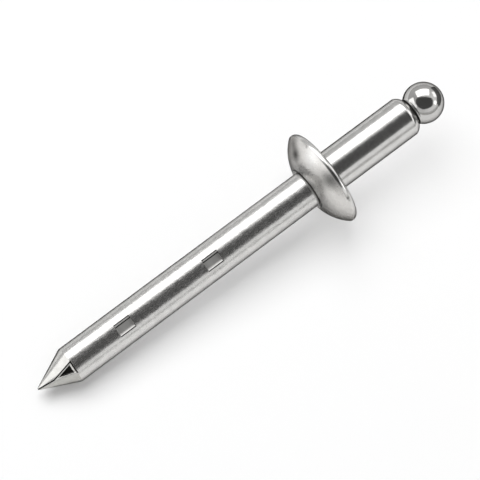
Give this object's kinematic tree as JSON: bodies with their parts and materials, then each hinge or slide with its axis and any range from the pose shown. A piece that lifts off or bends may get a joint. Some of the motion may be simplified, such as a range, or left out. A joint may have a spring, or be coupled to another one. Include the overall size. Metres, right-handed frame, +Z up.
{
  "type": "blind rivet",
  "caption": "Blind pop rivet, lying on its side: pointed mandrel stem, domed flange, tubular body and ball head that is pulled in to set it from one side.",
  "frame": {"origin": "on the floor, under the middle of the rivet as it lies", "axes": "+X from the point to the ball head, level; +Z up. The rivet's own axis rises about 6 degrees towards the ball, because it lies on its flange's rim and on the base of its point"},
  "size_m": [0.0558, 0.0116, 0.0116],
  "materials": {
    "body_steel": "turned and satin-tumbled stainless steel",
    "mandrel_steel": "bright drawn stainless steel, polished at the ball"
  },
  "bodies": {
    "root": {"rivet_body": "body_steel", "mandrel": "mandrel_steel"}
  },
  "joints": []
}
